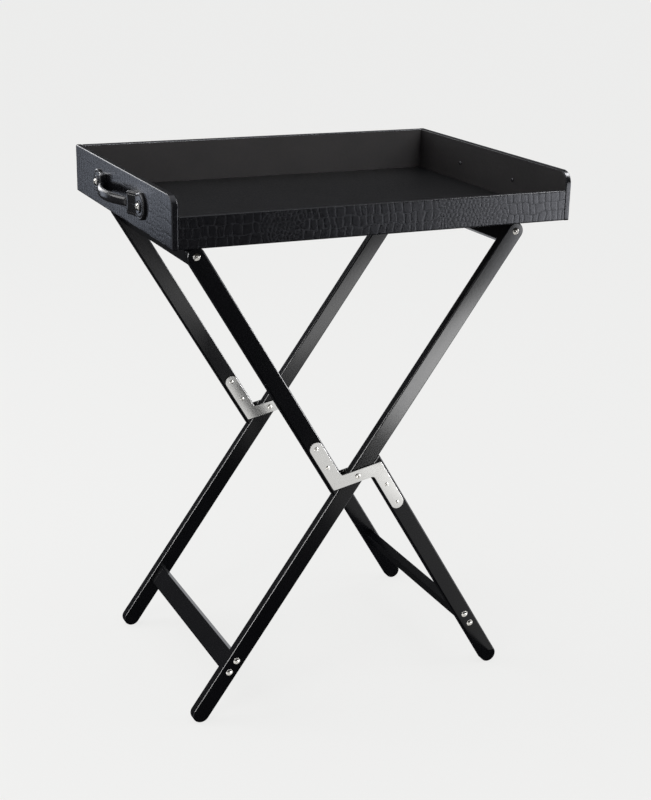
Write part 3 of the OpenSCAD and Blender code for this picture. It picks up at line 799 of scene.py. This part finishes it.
def handle_grip(end, label, seams, leather):
    """The padded roll, fullest in its middle, with thin tongues that run into the tabs."""
    grip = bmesh.new()
    steps, roll_half, tip_at, tip_run, tip_least = 60, 60.6, 60.9, 1.6, 0.04
    end_tall, end_thick, more_tall, more_thick = 6.5, 4.3, 0.9, 0.7
    stations = []
    for k in range(steps + 1):
        y = -roll_half + 2 * roll_half * k / steps
        full = 1 - (y / GRIP_HALF) ** 2
        tip = min(1.0, (tip_at - abs(y)) / tip_run)
        round_off = math.sqrt(max(1 - (1 - tip) ** 2, tip_least))
        stations.append((y, (end_tall + more_tall * full) * (0.72 + 0.28 * round_off),
                         (end_thick + more_thick * full) * (0.6 + 0.4 * round_off)))
    tongue = [(61.2, 4.9, 2.3), (62.2, 4.8, 2.1), (73.0, 4.8, 2.1)]
    stations = [(-y, tall, thick) for y, tall, thick in reversed(tongue)] + stations + tongue
    squareness, seam_depth, seam_half, seam_end = 0.86, 0.7, 0.22, 60.0
    rings = []
    for y, tall, thick in stations:
        bow_y = min(max(y, -GRIP_HALF), GRIP_HALF)
        slope = math.asin(bow_y / BOW_R) if abs(y) <= GRIP_HALF else 0.0
        ring = []
        for a in circle(40):
            up = tall * math.copysign(abs(math.sin(a)) ** squareness, math.sin(a))
            away = thick * math.copysign(abs(math.cos(a)) ** squareness, math.cos(a))
            # A stitched seam pinches the underside of the roll.
            if abs(y) < seam_end:
                up += seam_depth * math.exp(-((a - 1.5 * math.pi) / seam_half) ** 2)
            ring.append(grip.verts.new(Vector((end * (TRAY_X + bow(bow_y) + away * math.cos(slope)),
                                               y + away * math.sin(slope), HANDLE_Z + up))))
        rings.append(ring)
    closed_skin(grip, rings)
    piece(grip, f"{label}_handle_roll", HANDLE, nodes=[f"{label}_handle_grip"], weighted=False,
          **leather)
    pitch, length, sunk = 4.5, 3.2, 0.75

    def on_seam(y):
        tall = end_tall + more_tall * (1 - (y / GRIP_HALF) ** 2)
        return Vector((end * (TRAY_X + bow(y)), y, HANDLE_Z - tall + sunk))

    for k in range(-12, 13):
        y = pitch * k - length / 2
        stitch(seams, on_seam(y), on_seam(y + length), Vector((0, 0, -1)))


def handle_metal(end, label):
    """The raised washers, the dome screws on them, and the bolts that show inside the tray."""
    washer = ([(4.4, 0.0), (8.8, 0.0), (9.0, 0.25), (8.95, 0.6)]
              + arc_profile((8.1, 0.75), 0.85, 0, 90, 6)
              + [(7.2, 1.45), (6.9, 1.2), (6.2, 1.15), (4.4, 1.15), (4.4, 0.0)])
    bolt = [(0, 2.5), (2.0, 2.45), (3.6, 2.1), (4.0, 1.5), (4.0, 0.0), (2.0, 0.0), (2.0, -WALL_T)]
    bolt += [(r, -WALL_T - h) for r, h in ((3.0, 0.0), (3.0, 0.5), (2.85, 0.95), (2.3, 1.3), (1.2, 1.48),
                                           (0, 1.5))]
    washers, screws, bolts = bmesh.new(), bmesh.new(), bmesh.new()
    draw = random.Random(31 + end)
    for side in (-1, 1):
        on_tab = at_wall(end, side * SCREW_Y, HANDLE_Z, TRAY_X + TAB_THIN, draw.uniform(0, 90))
        lathe(washers, washer, on_tab)
        on_washer = on_tab @ Matrix.Translation((0, 0, 1.2))
        cross_head(screws, on_washer, (5.6, 3.2, 0.6), DOME_RECESS, (2.0, 9.0))
        lathe(bolts, bolt, at_wall(end, side * BOLT_Y, HANDLE_Z, TRAY_X), 32)
    bmesh.ops.remove_doubles(washers, verts=washers.verts, dist=1e-4)
    metal = {"body": "tray", "slot": "nickel"}
    piece(washers, f"{label}_tab_washers", DARK_REFLECTION_NICKEL, nodes=[f"{label}_handle_washers"], **metal)
    piece(screws, f"{label}_tab_dome_screws", NICKEL, nodes=[f"{label}_handle_screws"], weighted=False,
          **metal)
    piece(bolts, f"{label}_tab_bolts", DARK_REFLECTION_NICKEL, nodes=[f"{label}_handle_bolts"], **metal)


# --- Stand ---


def bar(u0, u1, v0, v1, radius):
    """A bar's corners, counter-clockwise."""
    return [(u0, v0, radius), (u1, v0, radius), (u1, v1, radius), (u0, v1, radius)]


def stand():
    half_w, end_r = LEG_W / 2, LEG_W / 2 - HAIR
    straight = rounded(bar(-half_w, half_w, -REACH_DOWN - half_w, REACH_UP + half_w, end_r))
    stretcher_v = [-STRETCHER_AT - DOME_PITCH / 2, -STRETCHER_AT + DOME_PITCH / 2]
    past_pivot = -60.0
    upper = [(-LEG_OFFSET - half_w, past_pivot, SHARP), (-LEG_OFFSET + half_w, past_pivot, SHARP),
             (-LEG_OFFSET + half_w, HALF_UP + half_w, end_r),
             (-LEG_OFFSET - half_w, HALF_UP + half_w, end_r)]
    lower = [(u, v - HALF_UP + HALF_DOWN if v > 0 else v, r) for u, v, r in upper]
    to_butt = (cos_d(SPREAD), -sin_d(SPREAD))
    upper = rounded(clipped(upper, to_butt, -BUTT))
    lower = [-p for p in rounded(clipped(lower, to_butt, -BUTT))]
    lacquer = {"material": LACQUER, "slot": "black_lacquer"}
    arris, bore, pivot_bore = (2.0, 2.0), (2.0, 2.0), (4.5, 4.5)
    for side, where in ((-1, "front"), (1, "rear")):
        # Each leg: its name, outline, body, place, outer and inner faces, holes and CAD node
        legs = (
            ("long_leg", straight, "straight_frame", STRAIGHT, (STRAIGHT_OUT, STRAIGHT_IN),
             [(0, 0, *pivot_bore), (0, REACH_UP, *bore)] + [(0, v, *bore) for v in stretcher_v],
             "straight_leg"),
            ("top_half_leg", upper, "half_leg_frame", HALF, (HALF_OUT, HALF_IN),
             [(-LEG_OFFSET, HALF_UP, *bore)], "upper_leg"),
            ("bottom_half_leg", lower, "half_leg_frame", HALF, (HALF_OUT, HALF_IN),
             [(LEG_OFFSET, v, *bore) for v in stretcher_v], "lower_leg"),
        )
        for name, outline, body, matrix, faces, holes, node in legs:
            low, high = sorted(side * face for face in faces)
            piece(prism(outline, low, high, arris, holes), f"{where}_{name}", body=body, matrix=matrix,
                  nodes=[f"{where}_{node}"], **lacquer)

    def board(u, low, high):
        return bar(u - RAIL_T / 2, u + RAIL_T / 2, low, high, 1.6)

    foot = (-STRETCHER_AT - STRETCHER_W / 2, -STRETCHER_AT + STRETCHER_W / 2)
    # Each board: piece, CAD node, body, place, half length, outline, and lean if it is planed level
    boards = (
        ("left_foot_stretcher", "left_stretcher", "straight_frame", STRAIGHT, STRAIGHT_IN,
         board(0, *foot), 0),
        ("right_foot_stretcher", "right_stretcher", "half_leg_frame", HALF, HALF_IN,
         board(LEG_OFFSET, *foot), 0),
        ("right_tray_rail", "right_top_rail", "straight_frame", STRAIGHT, STRAIGHT_IN,
         board(0, REACH_UP - RAIL_BELOW, REACH_UP + RAIL_ABOVE), LEAN),
        ("left_tray_rail", "left_top_rail", "half_leg_frame", HALF, HALF_IN,
         board(-LEG_OFFSET, HALF_UP - RAIL_BELOW, HALF_UP + RAIL_ABOVE), -HALF_LEAN),
    )
    for name, node, body, matrix, inner, corners, lean in boards:
        if lean:
            corners = clipped(corners, (-sin_d(lean), cos_d(lean)), UNDER - pivot_z)
        bm = prism(rounded(corners), -inner, inner, (0.25, 0.25))
        piece(bm, name, body=body, matrix=matrix, nodes=[node], **lacquer)
    # The dome screws on the legs' outer faces: what they hold, body, place, face and positions
    sets = (
        ("left_stretcher", "straight_frame", STRAIGHT, STRAIGHT_OUT, [(0, v) for v in stretcher_v]),
        ("right_stretcher", "half_leg_frame", HALF, HALF_OUT, [(LEG_OFFSET, v) for v in stretcher_v]),
        ("right_rail", "straight_frame", STRAIGHT, STRAIGHT_OUT, [(0, REACH_UP)]),
        ("left_rail", "half_leg_frame", HALF, HALF_OUT, [(-LEG_OFFSET, HALF_UP)]),
    )
    draw = random.Random(41)
    for name, body, matrix, outer, places in sets:
        bm = bmesh.new()
        for out in (-1, 1):
            for u, v in places:
                cross_head(bm, at_face(u, out * outer, v, out, draw.uniform(0, 90)),
                           (5.25, 2.4, 0.6), DOME_RECESS, (1.95, 38.0))
        piece(bm, f"{name}_dome_screws", NICKEL, body, "nickel", [f"{name}_screws"], matrix,
              weighted=False)
    hinges(draw)


def hinges(draw):
    """The cranked plates with their countersunk screws, and the rivets they turn on."""
    plate_u = LEG_OFFSET - 0.8
    arm_half, bar_half, reach = 10.25, 9.5, 88.5
    inner_corner, outer_corner = 6.0, 2.4
    turn = 11.5 - HALF_LEAN
    inner_u, outer_u = plate_u - arm_half, plate_u + arm_half
    slope, rise = math.tan(math.radians(turn)), bar_half / cos_d(turn)
    half = [(-inner_u, -inner_u * slope + rise, inner_corner), (-inner_u, reach, arm_half - HAIR),
            (-outer_u, reach, arm_half - HAIR), (-outer_u, -outer_u * slope - rise, outer_corner)]
    outline = rounded(half + [(-u, -v, r) for u, v, r in half])
    places = [(way * -plate_u, way * s) for way in (-1, 1) for s in (42.0, 78.5)]
    # From the leg outwards: a countersink's two radii, and the plate's two arrises
    sinks, arrises, rivet_r, sunk = (1.6, 3.35), (0.15, 0.45), 3.1, 0.35
    goes = {"body": "half_leg_frame", "matrix": HALF}
    for side, where in ((-1, "front"), (1, "rear")):
        screws = bmesh.new()
        for layer, y_leg in (("outer", HALF_OUT), ("inner", HALF_IN)):
            out = side if layer == "outer" else -side
            y_seat = side * y_leg
            low, high = sorted((y_seat, y_seat + out * PLATE_T))
            holes = [(0, 0, rivet_r, rivet_r)] + [(u, v, *sinks[::out]) for u, v in places]
            piece(prism(outline, low, high, arrises[::out], holes), f"{where}_{layer}_hinge_plate",
                  PLATE, slot="plate_nickel", nodes=[f"{where}_{layer}_plate"], **goes)
            for u, v in places:
                seat = at_face(u, y_seat + out * sunk, v, out, draw.uniform(0, 90))
                cross_head(screws, seat, (2.75, 0.35, 1.0), (1.7, 0.34, 0.95), (1.5, 5.8))
        piece(screws, f"{where}_hinge_screws", NICKEL, slot="nickel", nodes=[f"{where}_plate_screws"],
              weighted=False, **goes)
        bm = bmesh.new()
        low, high = sorted((side * (HALF_OUT + PLATE_T), side * (HALF_IN - PLATE_T)))
        head = [(0, 0.35), (0.8, 0.4), (1.3, 0.55), (1.7, 0.9), (2.4, 1.0), (3.4, 0.92), (4.1, 0.65),
                (4.5, 0.2), (4.5, 0.0), (2.98, 0.0)]
        profile = [(r, high - low + h) for r, h in head] + [(r, -h) for r, h in reversed(head)]
        lathe(bm, profile, at_face(0, low, 0, 1))
        piece(bm, f"{where}_hinge_rivet", NICKEL, slot="nickel", nodes=[f"{where}_pivot_rivet"], **goes)


# --- Studio ---

PALE = rgb(0.862, 0.862, 0.853)


def studio():
    camera()
    scene.view_settings.view_transform = "Standard"
    ground()
    studio_world()
    glossy = {"glossy_only": True}
    lamp("soft_left", (-2.3, 1.2, 2.1), (0, 0, 0.5), (1.8, 1.8), 26)
    lamp("soft_strip", (-1.9, -1.35, 1.9), (0, 0, 0.5), (0.45, 1.8), 10)
    lamp("soft_right", (2.4, -1.0, 1.9), (0, 0, 0.6), (1.2, 1.2), 8)
    # Seen by some finishes only, on all of their pieces or on those whose names start with where
    lamp("lip_edge", (1.39, -0.38, 1.91), (0.3, -0.2, 0.76), (0.8, 0.8), 38, [CROC], **glossy)
    lamp("wall_edge", (-0.61, 1.69, 1.29), (-0.3, 0.0, 0.79), (1.0, 0.6), 4, [CROC, HANDLE], **glossy)
    lamp("wall_glow", (-1.42, 2.2, 0.70), (-1.42, 0.0, 0.70), (1.0, 1.0), 2.9, [CROC, HANDLE, DARK_REFLECTION_NICKEL],
         where="left", color=(0.78, 0.85, 1.0), **glossy)
    lamp("back_fill", (0.5, -1.5, 1.7), (0.15, 0.2, 0.76), (0.5, 0.5), 24, [CROC], where="back_wall")
    pool = (0.59, 1.32, -2.12, -1.05)
    card("front_pool", *pool, 9.0, [LACQUER], "front_long")
    card("rear_pool", *pool, 4.5, [LACQUER], "rear_long")
    card("leg_glow", 0.24, 0.90, -1.0, 0.0, 0.50, [LACQUER])
    card("rear_top_glow", 0.35, 0.80, -2.20, -1.35, 2.0, [LACQUER], "rear_top")
    for name, where in (("arris_front", "front_top"), ("arris_rear", "rear_top")):
        lamp(name, (2.05, -0.24, 0.72), (-0.1, 0.0, 0.5), (0.6, 1.0), 60, [LACQUER], where=where,
             **glossy)
    lamp("arris_strip", (-1.75, -1.25, 1.0), (0, 0, 0.35), (0.7, 1.2), 66, [LACQUER], **glossy)
    card("plate_low", -0.6, 1.8, -1.6, 0.2, 0.66, [PLATE, NICKEL])
    card("plate_high", 0.40, 1.8, -1.6, 0.2, 0.29, [PLATE, NICKEL])


def camera():
    data = bpy.data.cameras.new("camera")
    data.sensor_width = 36.0
    data.lens = 66.24
    cam = bpy.data.objects.new("camera", data)
    scene.collection.objects.link(cam)
    yaw, pitch, roll = 25.02, 18.54, 1.21
    ahead = Vector((sin_d(yaw) * cos_d(pitch), cos_d(yaw) * cos_d(pitch), -sin_d(pitch)))
    level = Vector((cos_d(yaw), -sin_d(yaw), 0))
    upright = level.cross(ahead)
    right = level * cos_d(roll) + upright * sin_d(roll)
    up = -level * sin_d(roll) + upright * cos_d(roll)
    cam.matrix_world = (Matrix.Translation((-0.8969, -1.9732, 1.1438))
                        @ Matrix((right, up, -ahead)).transposed().to_4x4())
    scene.camera = cam


def ground():
    """A pale floor that glows evenly, with only faint shadows on it."""
    bm = bmesh.new()
    bmesh.ops.create_grid(bm, x_segments=1, y_segments=1, size=30.0)
    mesh = bpy.data.meshes.new("floor")
    bm.to_mesh(mesh)
    bm.free()
    floor = bpy.data.objects.new("floor", mesh)
    scene.collection.objects.link(floor)
    g = Graph("pale_floor")
    g.set(Base_Color=rgb(0.14, 0.14, 0.138), Roughness=0.9, Specular_IOR_Level=0.0,
          Emission_Color=PALE, Emission_Strength=0.90)
    mesh.materials.append(g.material)
    floor.visible_glossy = False


def lamp(name, at, aim, size, power, seen_by=(), glossy_only=False, where="", color=(1.0, 1.0, 1.0)):
    """A soft rectangular light. seen_by limits it to some finishes, and where to some pieces."""
    data = bpy.data.lights.new(name, "AREA")
    data.color = color
    data.shape = "RECTANGLE"
    data.size, data.size_y = size
    data.energy = power
    made = bpy.data.objects.new(name, data)
    scene.collection.objects.link(made)
    made.location = at
    made.rotation_euler = (Vector(aim) - Vector(at)).to_track_quat("-Z", "Y").to_euler()
    made.visible_camera = False
    made.visible_diffuse = not glossy_only
    if seen_by:
        group = bpy.data.collections.new(name + "_lit")
        for finish in seen_by:
            for lit in finish_groups[finish.name]:
                if lit.name.startswith(where):
                    group.objects.link(lit)
        made.light_linking.receiver_collection = group


def card(name, left, right, near, far, level, seen_by, where=""):
    """A bright sheet just above the floor that only some finishes reflect."""
    x, y, lift = (left + right) / 2, (near + far) / 2, 0.02
    size = (right - left, far - near)
    power = level * math.pi * size[0] * size[1]
    lamp(name, (x, y, lift), (x, y, 1.0), size, power, seen_by, glossy_only=True, where=where)


def studio_world():
    """The room that surfaces reflect: dim, with soft bright walls. The camera sees plain pale air."""
    world = bpy.data.worlds.new("studio")
    scene.world = world
    world.use_nodes = True
    tree = world.node_tree
    place = tree.nodes.new("ShaderNodeTexCoord").outputs["Generated"]
    total = None
    # Each wall: the direction of its middle, the degrees from it where the wall starts and stops
    # fading, and its brightness
    walls = (
        ((0.0, 0.0, 1.0), 20, 180, 0.10),
        ((-0.60, 0.79, 0.08), 8, 18, 0.03),
        ((0.69, -0.71, -0.15), 3, 14, 8.5),
        ((0.97, 0.18, 0.10), 6, 16, 3.5),
        ((-0.08, 0.985, 0.11), 5, 13, 3.5),
        ((0.0, 0.1, 1.0), 20, 50, 1.0),
        ((0.95, 0.15, -0.28), 12, 38, 0.7),
        ((-0.93, -0.25, -0.30), 12, 38, 0.7),
        ((0.62, 0.73, -0.28), 8, 27, 0.7),
    )
    for middle, inner, outer, level in walls:
        dot = tree.nodes.new("ShaderNodeVectorMath")
        dot.operation = "DOT_PRODUCT"
        tree.links.new(place, dot.inputs[0])
        dot.inputs[1].default_value = Vector(middle).normalized()
        fade = tree.nodes.new("ShaderNodeMapRange")
        fade.interpolation_type = "SMOOTHSTEP"
        tree.links.new(dot.outputs["Value"], fade.inputs["Value"])
        for key, value in (("From Min", cos_d(outer)), ("From Max", cos_d(inner)),
                           ("To Min", 0.0), ("To Max", level)):
            fade.inputs[key].default_value = value
        if total is None:
            total = fade.outputs["Result"]
            continue
        add = tree.nodes.new("ShaderNodeMath")
        tree.links.new(total, add.inputs[0])
        tree.links.new(fade.outputs["Result"], add.inputs[1])
        total = add.outputs["Value"]
    background = tree.nodes["Background"]
    tree.links.new(total, background.inputs["Strength"])
    background.inputs["Color"].default_value = rgb(0.95, 0.96, 1.0)
    pale = tree.nodes.new("ShaderNodeBackground")
    pale.inputs["Color"].default_value = PALE
    mix = tree.nodes.new("ShaderNodeMixShader")
    tree.links.new(tree.nodes.new("ShaderNodeLightPath").outputs["Is Camera Ray"], mix.inputs["Fac"])
    tree.links.new(background.outputs["Background"], mix.inputs[1])
    tree.links.new(pale.outputs["Background"], mix.inputs[2])
    tree.links.new(mix.outputs["Shader"], tree.nodes["World Output"].inputs["Surface"])


# --- The object in its studio ---

tray()
handle(-1, "left")
handle(1, "right")
stand()
for bush in ("front_pivot_bush", "rear_pivot_bush"):
    for shown in frame["nodes"][bush].material_slots:
        shown.material = BRASS
studio()
